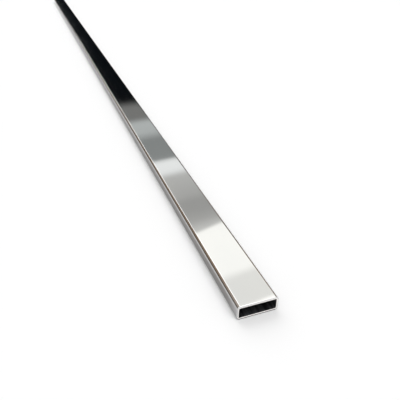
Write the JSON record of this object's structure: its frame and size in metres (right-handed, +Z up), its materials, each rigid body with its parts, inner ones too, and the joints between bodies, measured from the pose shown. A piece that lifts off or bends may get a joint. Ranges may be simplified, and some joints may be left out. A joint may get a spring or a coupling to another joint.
{
  "type": "stainless steel rectangular tube",
  "caption": "Straight cut length of stainless steel rectangular hollow tube with rounded long edges, mirror-polished faces and open, deburred ends.",
  "frame": {"origin": "middle of the lower wide face, half way along the tube, on the floor that it rests on", "axes": "+X across the wide faces, +Y along the tube, +Z up through the wide faces"},
  "size_m": [0.04, 2, 0.015],
  "materials": {
    "polished_steel": "mirror-polished outside, sawn and deburred ends, dull mill finish in the bore"
  },
  "bodies": {
    "root": {"tube": "polished_steel"}
  },
  "joints": []
}
